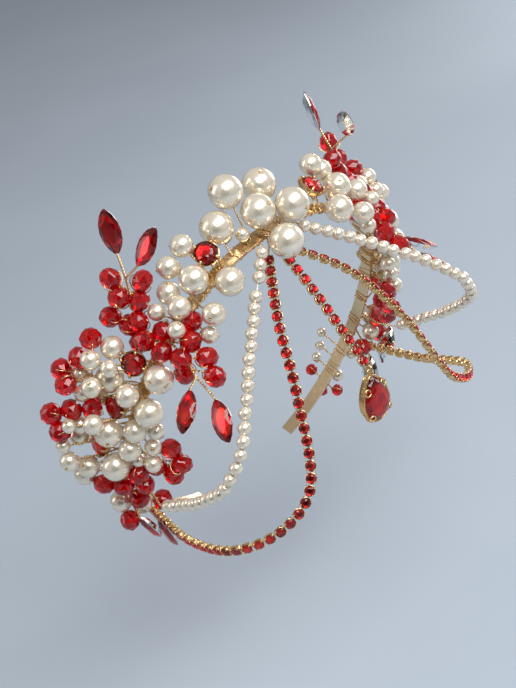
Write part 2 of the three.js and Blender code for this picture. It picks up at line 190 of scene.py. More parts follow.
# Pointed-oval stones: base and tip, each as along, about and out
NAVETTES = [
    ((36, -46, 30), (31, -44, 42)),
    ((36, -24, 26), (28, -14, 34)),
    ((55, 78, 19), (63, 68, 29)),
    ((53, 86, 27), (60, 83, 41)),
    ((107, 52, 15), (118, 62, 17)),
    ((118, 70, 12), (128, 66, 18)),
]
# The big pearls over the crown and one seed pearl, in the pearls' columns
CROWN_PEARLS = [
    (-8, -42, 16, 12), (4, -48, 14, 12), (-3, -18, 9, 12),
    (5, 18, 9, 12), (-16, -48, 10, 12), (-4, 80, 9, 12),
]
CROWN_SEED = (-10, -30, 4, 5)
# Ways of the strings and chains on the left: millimetres aside, backward and up from the crown
PEARL_ROUTE = [
    (9, -5.4, 1), (28, -20, -8.5), (45, -34, -18), (58, -45, -28),
    (65, -46, -40), (66.5, -38, -54), (66, -27, -67), (65, -17, -77.5),
]
SWAG_ROUTE = [
    (4.2, -4.2, -6), (18.7, -23.2, -14.4), (28, -41.5, -28.7), (39, -60, -53),
    (52, -60, -63), (63.5, -51.5, -71), (64.8, -31, -84.5), (60.5, -8, -91.5),
]
CENTRE_ROUTE = [(0, -4.6, -4), (0, -21, -12.2), (0, -36, -21.5), (0, -48.2, -29.6)]

# Stems of twisted wire, from their root on the band to their tip, as along, about and out,
# with the pointed stones (counted from 1) that end each one
STEMS = {
    "crystals_rear_sprig": [
        {"way": [(50, -12, 1), (48, -40, 9), (44, -46, 16), (39.5, -44, 23)], "stones": (1, 2)},
    ],
    "crystals_front_sprig": [
        {"way": [(46, 5, 1), (47, 45, 6), (48.5, 72, 12), (51, 81, 18)], "stones": (3, 4)},
    ],
    "crystals_rear_edge": [
        {"way": [(64, -12, 1), (65, -40, 11), (65, -46, 22)], "stones": ()},
        {"way": [(75, -12, 1), (77, -36, 12), (77, -36, 22)], "stones": ()},
    ],
    "crystals_lower": [
        {"way": [(84, 20, 1), (85, 80, 5), (88, 107, 12)], "stones": ()},
        {"way": [(100, 18, 1), (104, 46, 9)], "stones": (5,)},
        {"way": [(110, 20, 1), (115, 60, 7)], "stones": (6,)},
    ],
}
# Wire ties that hold the ends of the strings and swags to the band's front edge:
# the end, a place on the way, and the degrees along the band where it is tied
TIES = [
    {"end": PEARL_ROUTE[0], "by": (8.6, -3.9, 1.2), "at": 8},
    {"end": PEARL_ROUTE[-1], "by": (62.4, -9.5, -78.8), "at": 103},
    {"end": SWAG_ROUTE[0], "by": (3.8, -3.8, -2.4), "at": 3.5},
    {"end": SWAG_ROUTE[-1], "by": (58.6, -5, -91.0), "at": 115},
]
# Wire wound round the band: from, to, in degrees, and how many turns
WRAPS = [
    (2, 10, 2), (19, 9, 2), (12, 18, 2), (21, 24, 3), (29, 32, 3), (40, 26, 3), (36, 39, 3),
    (44, 51, 7), (56, 59, 4), (63, 66, 4), (70, 74, 5), (77, 80, 4), (85, 89, 5), (90, 62, 7),
    (95, 98, 4), (104, 108, 4), (111, 114, 3), (119, 122, 3), (126, 129, 4),
]


# Where things are

def unit(vector):
    return vector / np.linalg.norm(vector)


def outward(at):
    t = math.radians(at)
    return unit(np.array([BAND["half_height"] * math.sin(t), 0, BAND["half_width"] * math.cos(t)]))


def band_point(at, out=0.0, forward=0.0):
    t = math.radians(at)
    across, down = BAND["half_width"] * math.sin(t), BAND["half_height"] * (1 - math.cos(t))
    return np.array([across, -forward, -down]) + out * outward(at)


def facing(at, about):
    turn = math.radians(about)
    return outward(at) * math.cos(turn) + np.array([0, -math.sin(turn), 0])


def place(at, about, reach):
    return band_point(at, BAND["thickness"]) + reach * facing(at, about)


def mirrored(point, sign):
    return np.asarray(point, float) * (sign, 1, 1)


def spline(points, count):
    """A smooth curve through given points, as evenly spaced places."""
    points = np.asarray(points, float)
    ends = np.vstack([2 * points[0] - points[1], points, 2 * points[-1] - points[-2]])
    dense = []
    for p0, p1, p2, p3 in zip(ends, ends[1:], ends[2:], ends[3:]):
        gaps = [np.linalg.norm(b - a) ** 0.5 for a, b in ((p0, p1), (p1, p2), (p2, p3))]
        k0, k1, k2, k3 = np.cumsum([0] + gaps)
        t = np.linspace(k1, k2, SPLINE_STEPS, endpoint=False)[:, None]
        a1 = (k1 - t) / (k1 - k0) * p0 + (t - k0) / (k1 - k0) * p1
        a2 = (k2 - t) / (k2 - k1) * p1 + (t - k1) / (k2 - k1) * p2
        a3 = (k3 - t) / (k3 - k2) * p2 + (t - k2) / (k3 - k2) * p3
        b1 = (k2 - t) / (k2 - k0) * a1 + (t - k0) / (k2 - k0) * a2
        b2 = (k3 - t) / (k3 - k1) * a2 + (t - k1) / (k3 - k1) * a3
        dense.append((k2 - t) / (k2 - k1) * b1 + (t - k1) / (k2 - k1) * b2)
    dense = np.vstack(dense + [points[-1:]])
    run = np.concatenate([[0], np.cumsum(np.linalg.norm(np.diff(dense, axis=0), axis=1))])
    even = np.linspace(0, run[-1], count)
    return np.stack([np.interp(even, run, dense[:, k]) for k in range(3)], 1)


def length_of(points):
    return np.linalg.norm(np.diff(spline(points, MEASURE_STEPS), axis=0), axis=1).sum()


# The beads push one another aside just as the solids did

def settle(centres, radii, fixed_centres, fixed_radii):
    centres = centres.copy()
    for _ in range(SETTLE["turns"]):
        everything = np.vstack([centres, fixed_centres])
        reach = radii[:, None] + np.concatenate([radii, fixed_radii])[None] + GAP
        apart = centres[:, None] - everything[None]
        distance = np.linalg.norm(apart, axis=2)
        need = np.where(distance > 0, reach - distance, 0).clip(0)
        centres += SETTLE["rate"] * (apart * (need / np.maximum(distance, 1e-9))[..., None]).sum(1)
    return centres


def band_balls():
    lanes = [lane * (BAND["width"] / 2 - BAND["thickness"] / 2) for lane in (-1, 0, 1)]
    angles = np.arange(-BAND["end"], BAND["end"] + 1, SETTLE["band_step"])
    radius = BAND["thickness"] * SETTLE["band_ball"]
    return [(band_point(at, BAND["thickness"] / 2, -y), radius) for at in angles for y in lanes]


def along(points, spacing, radius):
    return [(point, radius) for point in spline(points, math.ceil(length_of(points) / spacing) + 1)]


def fixed_balls():
    balls = band_balls()
    for sign in SIDES.values():
        for row in ROUND_STONES:
            centre = place(row["at"], row["round"], row["reach"])
            sunk = centre - facing(row["at"], row["face"]) * ROUND_STONE["depth"] / 4
            balls.append((mirrored(sunk, sign), ROUND_STONE["collet"] / 2))
        for base, tip in NAVETTES:
            ends = [mirrored(place(*base), sign), mirrored(place(*tip), sign)]
            balls += along(ends, NAVETTE["ball"], NAVETTE["ball"])
        for route, run in ((PEARL_ROUTE, PEARL_STRING), (SWAG_ROUTE, CUP_CHAIN)):
            balls += along([mirrored(point, sign) for point in route], run["radius"], run["radius"])
    balls += along(CENTRE_ROUTE, CUP_CHAIN["radius"], CUP_CHAIN["radius"])
    return np.array([centre for centre, _ in balls]), np.array([radius for _, radius in balls])


def bead_rows(pearls, crystals, crown=(), sides=SIDES):
    """Every bead as field, kind, size, starting place and degrees along the band."""
    rows = [
        ("crown", "pearl", size, place(at, about, reach), at)
        for at, about, reach, size in crown
    ]
    for side, sign in sides.items():
        for field, beads in pearls.items():
            for at, about, reach, size in beads:
                start = mirrored(place(at, about, reach), sign)
                rows.append((f"{side}_pearls_{field}", "pearl", size, start, at))
        for field, beads in crystals.items():
            for at, about, reach in beads:
                start = mirrored(place(at, about, reach), sign)
                rows.append((f"{side}_crystals_{field}", "crystal", CRYSTAL["core"], start, at))
    return rows


def settled_beads():
    fixed_centres, fixed_radii = fixed_balls()
    beads = []
    for rows in (
        bead_rows(PEARLS, CRYSTALS, CROWN_PEARLS),
        bead_rows(SMALL_PEARLS, SMALL_CRYSTALS, [CROWN_SEED]),
        bead_rows(TAIL_PEARLS, TAIL_CRYSTALS, sides={"left": 1}),
    ):
        starts = np.array([start for _, _, _, start, _ in rows])
        radii = np.array([size / 2 for _, _, size, _, _ in rows])
        centres = settle(starts, radii, fixed_centres, fixed_radii)
        for (field, kind, size, _, at), centre in zip(rows, centres):
            beads.append({"field": field, "kind": kind, "size": size, "centre": centre, "at": at})
        fixed_centres = np.vstack([fixed_centres, centres])
        fixed_radii = np.concatenate([fixed_radii, radii])
    # The cut beads at their full size ease the rest a little further apart
    clear = []
    for bead in beads:
        bead["scale"] = TAIL_SCALE if bead["field"].endswith("tail") else 1.0
        pearl = bead["kind"] == "pearl"
        bead["radius"] = bead["size"] / 2 if pearl else CRYSTAL["size"] / 2 * bead["scale"]
        clear.append(bead["size"] / 2 if pearl else CRYSTAL["clear"] * bead["scale"])
    centres = np.array([bead["centre"] for bead in beads])
    eased = settle(centres, np.array(clear) - GAP / 2, *fixed_balls())
    for bead, centre in zip(beads, eased):
        bead["centre"] = centre
    return beads


# Meshes

TILT = np.array(Matrix.Rotation(math.radians(WORN_TILT), 3, "X"))


class Shape:
    """Points and faces of one piece, gathered from many small solids."""

    def __init__(self):
        self.points, self.faces, self.slots, self.smooth, self.count = [], [], [], [], 0

    def add(self, solid, slot=0, smooth=True):
        points, faces = solid
        self.points.append(points)
        self.faces += [tuple(i + self.count for i in face) for face in faces]
        self.slots += [slot] * len(faces)
        self.smooth += [smooth] * len(faces)
        self.count += len(points)
        return self

    def build(self, name, materials, slot, body="headband", replaces=(), tilted=True):
        points = np.vstack(self.points)
        points = (points @ TILT.T if tilted else points) * MM
        mesh = bpy.data.meshes.new(name)
        mesh.from_pydata(points.tolist(), [], self.faces)
        for material in materials:
            mesh.materials.append(material)
        mesh.polygons.foreach_set("material_index", self.slots)
        mesh.polygons.foreach_set("use_smooth", self.smooth)
        mesh.update()
        piece = bpy.data.objects.new(name, mesh)
        bpy.context.scene.collection.objects.link(piece)
        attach(piece, body)
        if replaces:
            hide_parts(*replaces)


def basis(direction, hint=SLANT):
    """Three axes with the last along a direction."""
    z = unit(np.asarray(direction, float))
    x = unit(np.cross(hint, z))
    return np.stack([x, np.cross(z, x), z])


def set_at(solid, axes, centre):
    points, faces = solid
    return np.asarray(points) @ axes + centre, faces


def turned(profile, sides):
    """A profile of radius and height spun about Z; a radius of 0 closes on the axis."""
    points, rings = [], []
    for radius, height in profile:
        if radius == 0:
            rings.append([len(points)])
            points.append((0, 0, height))
            continue
        rings.append(list(range(len(points), len(points) + sides)))
        for i in range(sides):
            turn = 2 * math.pi * i / sides
            points.append((radius * math.cos(turn), radius * math.sin(turn), height))
    faces = []
    for low, high in zip(rings, rings[1:]):
        for i in range(sides):
            j = (i + 1) % sides
            quad = [low[i % len(low)], low[j % len(low)], high[j % len(high)], high[i % len(high)]]
            faces.append(tuple(dict.fromkeys(quad)))
    return np.array(points, float), faces


def swept(path, radius, sides=6):
    """A round wire along a path, with flat ends."""
    path = np.asarray(path, float)
    turns = np.linspace(0, 2 * math.pi, sides, endpoint=False)[:, None]
    points = [
        spot + radius * (np.cos(turns) * normal + np.sin(turns) * side)
        for spot, normal, side in zip(path, *carried(path))
    ]
    faces = [tuple(range(sides))[::-1], tuple(range((len(path) - 1) * sides, len(path) * sides))]
    for k in range(len(path) - 1):
        for i in range(sides):
            a, b = k * sides + i, k * sides + (i + 1) % sides
            faces.append((a, b, b + sides, a + sides))
    return np.vstack(points), faces


def carried(path):
    """A pair of side directions at each place of a path, carried along it without twist."""
    tangents = np.gradient(path, axis=0)
    tangents /= np.linalg.norm(tangents, axis=1)[:, None]
    normal = basis(tangents[0])[0]
    normals = []
    for tangent in tangents:
        normal = unit(normal - tangent * (normal @ tangent))
        normals.append(normal)
    normals = np.array(normals)
    return normals, np.cross(tangents, normals)


def add_twist(shape, points, slot=0, radius=WIRE["radius"]):
    """Two wires twisted together along a smooth way."""
    length = length_of(points)
    if length < WIRE["shortest"]:
        return
    path = spline(points, max(4, int(length / WIRE["pitch"] * WIRE["steps"])))
    normals, sides = carried(path)
    run = np.linspace(0, length, len(path))[:, None] * 2 * math.pi / WIRE["pitch"]
    for start in (0, math.pi):
        helix = path + radius * (np.cos(run + start) * normals + np.sin(run + start) * sides)
        shape.add(swept(helix, radius, WIRE["sides"]), slot)


def hug(centre, start, end, radius, steps=9):
    """A wire's way close round a bead, from one direction to another."""
    a, b = unit(start), unit(end)
    straight = 0.999
    angle = math.acos(max(-straight, min(straight, a @ b)))
    t = np.linspace(0, 1, steps)[:, None]
    return centre + radius * (np.sin((1 - t) * angle) * a + np.sin(t * angle) * b) / math.sin(angle)


def cut(outline, rings):
    """A faceted stone: rings of corners stitched into flat facets, then closed at both ends."""
    points, loops = [], []
    for count, scale, height, phase in rings:
        turns = [2 * math.pi * (i + phase) / count for i in range(count)]
        loops.append([(turn, len(points) + i) for i, turn in enumerate(turns)])
        for turn in turns:
            x, y = outline(turn)
            points.append((x * scale, y * scale, height))
    faces = [tuple(i for _, i in loops[0])[::-1], tuple(i for _, i in loops[-1])]
    for low, high in zip(loops, loops[1:]):
        i = j = 0
        while i < len(low) or j < len(high):
            next_low = low[(i + 1) % len(low)][0] + 2 * math.pi * ((i + 1) // len(low))
            next_high = high[(j + 1) % len(high)][0] + 2 * math.pi * ((j + 1) // len(high))
            a, b = low[i % len(low)][1], high[j % len(high)][1]
            if j >= len(high) or (i < len(low) and next_low <= next_high):
                faces.append((a, low[(i + 1) % len(low)][1], b))
                i += 1
            else:
                faces.append((a, high[(j + 1) % len(high)][1], b))
                j += 1
    return np.array(points, float), faces


def circle(radius):
    return lambda turn: (radius * math.cos(turn), radius * math.sin(turn))


def navette_outline(turn):
    wide = math.copysign(abs(math.sin(turn)) ** NAVETTE["point"], math.sin(turn))
    return NAVETTE["width"] / 2 * wide, -NAVETTE["length"] / 2 * math.cos(turn)


def pear_outline(length, width):
    low = width / 2 - length / 2

    def outline(turn):
        x, y = width / 2 * math.cos(turn), math.sin(turn)
        if y <= 0:
            return x, low + width / 2 * y
        return x * (1 - DROP["waist"] * y * y), low + (length - width / 2) * y

    return outline


def pearl_solid(size, sides, rings):
    """A round bead with a soft lip and the mouth of its hole at both ends of Z."""
    radius = size / 2
    hole = max(PEARL_HOLE["least"], PEARL_HOLE["share"] * size)
    lip = math.asin(hole / radius) * PEARL_HOLE["lip"]
    ball = [
        (radius * math.sin(turn), radius * math.cos(turn))
        for turn in np.linspace(math.pi - lip, lip, rings)
    ]
    edge = radius * math.cos(lip)
    widths = (hole, hole * PEARL_HOLE["taper"], 0)
    mouth = [(width, edge - sunk) for width, sunk in zip(widths, PEARL_HOLE["sunk"])]
    return turned([(r, -z) for r, z in mouth[::-1]] + ball + mouth, sides)


# Half of a cut bead from its end to its waist: how wide, how high and how far turned
RONDELLE = [(0.42, 1.0, 0), (0.8, 0.66, 0.5), (1.0, 0.1, 0)]


def crystal_solid(scale):
    """A faceted rondelle bead, flat at both ends of Z."""
    half, sides = CRYSTAL["height"] / 2 * scale, CRYSTAL["sides"]
    below = [(sides, wide, -high * half, turn) for wide, high, turn in RONDELLE]
    above = [(sides, wide, high * half, turn) for wide, high, turn in RONDELLE[::-1]]
    return cut(circle(CRYSTAL["size"] / 2 * scale), below + above)


# Materials

def node_material(name):
    material = bpy.data.materials.new(name)
    material.use_nodes = True
    tree = material.node_tree
    shader = tree.nodes["Principled BSDF"]
    return material, tree, shader


def noise(tree, scale, detail=3.0, roughness=0.5):
    where = tree.nodes.new("ShaderNodeTexCoord")
    texture = tree.nodes.new("ShaderNodeTexNoise")
    texture.inputs["Scale"].default_value = scale
    texture.inputs["Detail"].default_value = detail
    texture.inputs["Roughness"].default_value = roughness
    tree.links.new(where.outputs["Object"], texture.inputs["Vector"])
    return texture


def painted_facet_shade(tree, scale):
    """A value that changes from facet to facet and drifts over the piece. It paints light and shade onto
    cut stones: some facets dark, some bright, standing in for the light a real cut would bend and reflect.
    """
    drift = 28
    where = tree.nodes.new("ShaderNodeTexCoord")
    mixed = tree.nodes.new("ShaderNodeVectorMath")
    mixed.operation = "MULTIPLY_ADD"
    mixed.inputs[1].default_value = (drift, drift, drift)
    tree.links.new(where.outputs["Object"], mixed.inputs[0])
    tree.links.new(where.outputs["Normal"], mixed.inputs[2])
    texture = tree.nodes.new("ShaderNodeTexNoise")
    texture.inputs["Scale"].default_value = scale
    texture.inputs["Detail"].default_value = 1.0
    tree.links.new(mixed.outputs["Vector"], texture.inputs["Vector"])
    return texture


def ramp(tree, source, stops):
    node = tree.nodes.new("ShaderNodeValToRGB")
    while len(node.color_ramp.elements) < len(stops):
        node.color_ramp.elements.new(0.5)
    for element, (position, color) in zip(node.color_ramp.elements, stops):
        element.position = position
        element.color = (*color, 1.0)
    tree.links.new(source.outputs["Fac"], node.inputs["Fac"])
    return node


def bump(tree, shader, source, strength, distance):
    node = tree.nodes.new("ShaderNodeBump")
    node.inputs["Strength"].default_value = strength
    node.inputs["Distance"].default_value = distance
    tree.links.new(source.outputs["Fac"], node.inputs["Height"])
    tree.links.new(node.outputs["Normal"], shader.inputs["Normal"])


def paint(tree, shader, tint, gloss):
    tree.links.new(tint.outputs["Color"], shader.inputs["Base Color"])
    tree.links.new(gloss.outputs["Color"], shader.inputs["Roughness"])


def grey(value):
    return (value, value, value)


def pearl_material():
    material, tree, shader = node_material("pearl_lacquer")
    cloud = noise(tree, 220, 4)
    tint = ramp(tree, cloud, [(0.3, (0.84, 0.74, 0.58)), (0.7, (0.93, 0.85, 0.71))])
    gloss = ramp(tree, noise(tree, 900, 2), [(0.3, grey(0.2)), (0.7, grey(0.28))])
    paint(tree, shader, tint, gloss)
    shader.inputs["Metallic"].default_value = 0.62
    shader.inputs["Coat Weight"].default_value = 0.5
    shader.inputs["Coat Roughness"].default_value = 0.1
    bump(tree, shader, cloud, 0.03, 0.0002)
    return material


def glass_material():
    material, tree, shader = node_material("red_cut_glass")
    # Painted shade and painted glints: the facets are tinted dark, middle or bright red in place of the
    # light the cut glass would bend and reflect.
    dark, middle, painted_glint_red = (0.4, 0.0, 0.003), (0.74, 0.002, 0.006), (0.96, 0.02, 0.015)
    tint = ramp(tree, painted_facet_shade(tree, 3.2), [(0.38, dark), (0.5, middle), (0.62, painted_glint_red)])
    gloss = ramp(tree, noise(tree, 1500, 2), [(0.35, grey(0.015)), (0.7, grey(0.05))])
    paint(tree, shader, tint, gloss)
    shader.inputs["IOR"].default_value = 1.56
    shader.inputs["Transmission Weight"].default_value = 0.75
    return material


def stone_material():
    """The foiled stones: clearer and brighter than the beads."""
    material, tree, shader = node_material("red_foiled_stone")
    # Painted shade and painted glints: the facets are tinted dark, middle or bright red in place of the
    # light the foiled stone would bend and reflect.
    dark, middle, painted_glint_red = (0.42, 0.0, 0.002), (0.9, 0.002, 0.006), (1.0, 0.06, 0.03)
    tint = ramp(tree, painted_facet_shade(tree, 4.6), [(0.36, dark), (0.47, middle), (0.6, painted_glint_red)])
    gloss = ramp(tree, noise(tree, 1500, 2), [(0.35, grey(0.0)), (0.7, grey(0.02))])
    paint(tree, shader, tint, gloss)
    shader.inputs["IOR"].default_value = 1.55
    shader.inputs["Specular IOR Level"].default_value = 0.3
    shader.inputs["Transmission Weight"].default_value = 0.94
    return material


def gold_material():
    material, tree, shader = node_material("gilt")
    cloud = noise(tree, 700, 5, 0.65)
    tint = ramp(tree, cloud, [(0.3, (0.74, 0.51, 0.24)), (0.7, (0.82, 0.60, 0.31))])
    gloss = ramp(tree, noise(tree, 1800, 3), [(0.3, grey(0.1)), (0.75, grey(0.2))])
    paint(tree, shader, tint, gloss)
    shader.inputs["Metallic"].default_value = 1.0
    bump(tree, shader, cloud, 0.03, 0.0001)
    return material


def strip_material():
    """The band's own gilding: paler and softer than the wire's."""
    material, tree, shader = node_material("pale_gilt_strip")
    cloud = noise(tree, 420, 5, 0.65)
    tint = ramp(tree, cloud, [(0.3, (0.76, 0.56, 0.32)), (0.7, (0.83, 0.63, 0.40))])
    gloss = ramp(tree, noise(tree, 1400, 3), [(0.3, grey(0.17)), (0.75, grey(0.28))])
    paint(tree, shader, tint, gloss)
    shader.inputs["Metallic"].default_value = 1.0
    bump(tree, shader, cloud, 0.015, 0.0001)
    return material


def thread_material():
    material, tree, shader = node_material("white_thread")
    tint = ramp(tree, noise(tree, 2500, 3), [(0.3, (0.72, 0.72, 0.66)), (0.7, (0.85, 0.85, 0.8))])
    tree.links.new(tint.outputs["Color"], shader.inputs["Base Color"])
    shader.inputs["Roughness"].default_value = 0.55
    return material


def foil_material():
    material, tree, shader = node_material("silver_foil")
    cloud = noise(tree, 900, 4, 0.6)
    # Painted shade and painted reflections: the foil's facets are tinted from dark grey to near white in
    # place of the light they would mirror.
    painted_facet_shades = [(0.36, grey(0.4)), (0.48, grey(0.8)), (0.6, grey(0.96))]
    tint = ramp(tree, painted_facet_shade(tree, 3.2), painted_facet_shades)
    tree.links.new(tint.outputs["Color"], shader.inputs["Base Color"])
    shader.inputs["Metallic"].default_value = 1.0
    shader.inputs["Roughness"].default_value = 0.1
    bump(tree, shader, cloud, 0.08, 0.0001)
    return material


def floor_material():
    material, tree, shader = node_material("pale_floor")
    cloud = noise(tree, 6, 3)
    tint = ramp(tree, cloud, [(0.3, (0.40, 0.46, 0.53)), (0.7, (0.43, 0.49, 0.56))])
    tree.links.new(tint.outputs["Color"], shader.inputs["Base Color"])
    shader.inputs["Roughness"].default_value = 0.85
    return material


PEARL, GLASS, STONE = pearl_material(), glass_material(), stone_material()
GOLD, STRIP = gold_material(), strip_material()
FOIL, THREAD = foil_material(), thread_material()


# Pieces

def make_band():
    """The strip, with its edges eased."""
    half, top, ease = BAND["width"] / 2, BAND["thickness"], EDGE_EASE
    section = [
        (0, half - ease), (ease, half), (top - ease, half), (top, half - ease),
        (top, ease - half), (top - ease, -half), (ease, -half), (0, ease - half),
    ]
    angles = np.linspace(-BAND["end"], BAND["end"], BAND_STEPS)
    points = np.array([band_point(at, *corner) for at in angles for corner in section])
    n = len(section)
    faces = [tuple(range(n))[::-1], tuple(range(len(points) - n, len(points)))]
    for k in range(len(angles) - 1):
        for i in range(n):
            a, b = k * n + i, k * n + (i + 1) % n
            faces.append((a, b, b + n, a + n))
    strip = Shape().add((points, faces), smooth=False)
    strip.build("band_strip", [STRIP], "gilt", replaces=["band"])


def stem_ways(field):
    """The stems that serve a field of beads, as smooth ways in its side's frame."""
    side, _, kind = field.partition("_")
    sign = SIDES.get(side, 1)
    return [
        spline([mirrored(place(*spot), sign) for spot in stem["way"]], STEM_STEPS)
        for stem in STEMS.get(kind, [])
    ]


def root_of(bead, ways):
    """Where a bead's wire is tied in: a little way down the nearest stem, or on the band."""
    sign = -1 if bead["field"].startswith("right") else 1
    tied = mirrored(band_point(bead["at"], BAND["thickness"] + WIRE["radius"]), sign)
    best = np.linalg.norm(tied - bead["centre"])
    for way in ways:
        distance = np.linalg.norm(way - bead["centre"], axis=1)
        nearest = int(distance.argmin())
        if distance[nearest] < best:
            best = distance[nearest]
            tied = way[max(0, nearest - TIED_BEFORE)]
    return tied


def add_stop(shape, spot, direction):
    """The little curl of wire that stops a pearl at the outer end of its hole."""
    turns = np.linspace(0, CURL["half_turns"] * math.pi, CURL["steps"])
    rise = np.linspace(CURL["low"], CURL["high"], CURL["steps"])
    curl = np.stack([np.cos(turns) * CURL["radius"], np.sin(turns) * CURL["radius"], rise], 1)
    shape.add(set_at(swept(curl, WIRE["radius"], WIRE["sides"]), basis(direction), spot))


def make_beads(beads):
    """The pearls and cut beads field by field, each with the wires that hold it."""
    rng = np.random.default_rng(SEEDS["beads"])
    fields = {}
    for bead in beads:
        fields.setdefault(bead["field"], []).append(bead)
    for field, members in fields.items():
        shape, wires = Shape(), Shape()
        ways = stem_ways(field)
        for way in ways:
            add_twist(wires, way[::STEM_EVERY], radius=WIRE["radius"] * WIRE["stem"])
        for bead in members:
            root = root_of(bead, ways)
            foot = unit(root - bead["centre"])
            across = unit(np.cross(foot, rng.normal(0, 1, 3)))
            pearl, centre = bead["kind"] == "pearl", bead["centre"]
            lean = BEAD["lean"] * foot if pearl else BEAD["stray"] * rng.normal(0, 1, 3)
            axis = unit(across + lean)
            axes = basis(axis, hint=rng.normal(0, 1, 3))
            if pearl:
                fine = BEAD["fine"] if bead["size"] > BEAD["large"] else BEAD["plain"]
                shape.add(set_at(pearl_solid(bead["size"], *fine), axes, centre))
                tall = bead["radius"]
            else:
                shape.add(set_at(crystal_solid(bead["scale"]), axes, centre), smooth=False)
                tall = CRYSTAL["height"] / 2 * bead["scale"]
            for end in (axis, -axis):
                if pearl and end @ foot < 0:
                    add_stop(wires, centre + end * (tall + BEAD["stop"]), end)
                    continue
                around = hug(centre, end, foot, bead["radius"] + WIRE["radius"])
                mouth = [centre + end * (tall + past) for past in (-BEAD["inside"], BEAD["outside"])]
                arc = spline(np.vstack([mouth, around[2:]]), BEAD["arc_steps"])
                wires.add(swept(arc, WIRE["radius"], WIRE["sides"]))
            low = centre + foot * (bead["radius"] + WIRE["radius"])
            sag = (low + root) / 2 + rng.normal(0, BEAD["sag"], 3)
            add_twist(wires, [low, sag, root])
        matter, slot = (PEARL, "pearl") if members[0]["kind"] == "pearl" else (GLASS, "red_glass")
        stands_for = [
            node for node in frame["nodes"]
            if node == field or (field == "crown" and node.startswith("crown_pearl"))
        ]
        shape.build(f"{field}_beads", [matter], slot, replaces=stands_for)
        wires.build(f"{field}_wires", [GOLD], "gilt")


def round_the_band(turn):
    """Out and forward of a wire that goes round the strip's edge at an even pace."""
    wide, high = BAND["width"] / 2 + WINDING["wire"], BAND["thickness"] / 2 + WINDING["wire"]
    run = (turn % 1) * 4 * (wide + high)
    legs = (
        (2 * wide, (1, 1), (1, -1)), (2 * high, (1, -1), (-1, -1)),
        (2 * wide, (-1, -1), (-1, 1)), (2 * high, (-1, 1), (1, 1)),
    )
    for length, out, forward in legs:
        if run <= length:
            break
        run -= length
    share = run / length
    lifted, ahead = (a + (b - a) * share for a, b in (out, forward))
    return BAND["thickness"] / 2 + high * lifted, wide * ahead


def make_wraps():
    """Thin wire wound round the band, a little unevenly."""
    rng = np.random.default_rng(SEEDS["windings"])
    for side, sign in SIDES.items():
        shape = Shape()
        for start, end, turns in WRAPS:
            steps = np.linspace(0, turns, turns * WINDING["steps"])
            stray = rng.normal(0, WINDING["stray"], turns + 1)
            drift = np.interp(steps, np.arange(turns + 1), stray)
            angles = start + (end - start) * steps / turns + drift
            path = [
                mirrored(band_point(at, *round_the_band(step)), sign) for at, step in zip(angles, steps)
            ]
            shape.add(swept(path, WINDING["wire"], WINDING["sides"]))
        shape.build(f"{side}_windings", [GOLD], "gilt")


# Facets from the bottom up to the girdle, and from there up to the table: how wide, how high
# and how far turned
PAVILION = [(0.2, -0.62, 0), (0.62, -0.36, 0.5)]
GIRDLE = {"low": -0.05, "high": 0.03}
WIDE_TABLE = [(0.82, 0.55, 0.5), (0.58, 1.0, 0)]
SMALL_TABLE = [(0.87, 0.5, 0.5), (0.66, 0.84, 0), (0.42, 1.0, 0.5)]
PEAR_TABLE = [(0.9, 0.4, 0.5), (0.75, 0.7, 0), (0.56, 0.9, 0.5), (0.36, 1.0, 0)]
# Seats, backs and gallery from the bottom up: corners, how wide, how high and how far turned
ROUND_SEAT = [(8, 0.24, -0.7, 0), (8, 0.68, -0.42, 0.5), (16, 1.02, -0.08, 0)]
NAVETTE_BACK = [(16, 0.5, -2.0, 0), (16, 0.8, -1.2, 0), (16, 1.01, -0.3, 0), (16, 1.01, -0.1, 0)]
PEAR_SEAT = [(12, 0.3, -2.4, 0), (12, 0.7, -1.5, 0.5), (24, 1.01, -0.3, 0)]
PEAR_GALLERY = [(36, 0.84, -3.1, 0), (36, 0.98, -1.6, 0), (36, 1.0, -0.5, 0), (36, 0.95, -0.1, 0)]
# The rails round the gallery: how wide, how high and how thick
PEAR_RAILS = [(0.985, -0.15, 0.3), (0.97, -1.7, 0.28), (0.88, -2.9, 0.3)]
# Posts, legs and hubs of the drop: how wide and how high, and where the ringed claws are in degrees
PEAR_POST = [(0.99, -0.2), (1.0, -0.9), (0.97, -1.8)]
PEAR_LEG = [(1.0, -1.7), (1.02, -0.4), (0.97, 0.6)]
PEAR_HUB = (0.9, 0.75)
PEAR_CLAWS = (38, 142, 218, 322)
# A collet's wall from its foot round to its inside: out and up, as shares of its radius and depth
COLLET = [
    (0, -1), (0.58, -1), (0.66, -0.8), (0.9, -0.55), (1, -0.2),
    (1, 0), (0.95, 0.03), (0.92, -0.2), (0.5, -0.7), (0, -0.7),
]
# A claw's leg, out and up as above, and its tip, up as a share of the stone's radius
CLAW_LEG = [(0.66, -0.95), (1.03, -0.35), (1.08, 0)]
CLAW_TIP = [(1.02, 0.16), (0.86, 0.3), (0.8, 0.3)]
CLAW_WIRE = 0.11
# The bar behind two cups: on from the middle of the first, and behind it
CHAIN_BAR = [(1.1, 0.5), (1.7, 0.9), (2.3, 0.9), (2.9, 0.5)]


def brilliant(outline, size, lift, many=16, crown=WIDE_TABLE):
    """A brilliant cut: small bottom, many girdle corners, half as many on the crown and table."""
    few, low, high = many // 2, GIRDLE["low"] * size, GIRDLE["high"] * size
    below = [(few, wide, up * size, turn) for wide, up, turn in PAVILION]
    girdle = [(many, 1.0, low, 0), (many, 1.0, high, 0)]
    above = [(few, wide, high + up * lift, turn) for wide, up, turn in crown]
    return cut(outline, below + girdle + above)


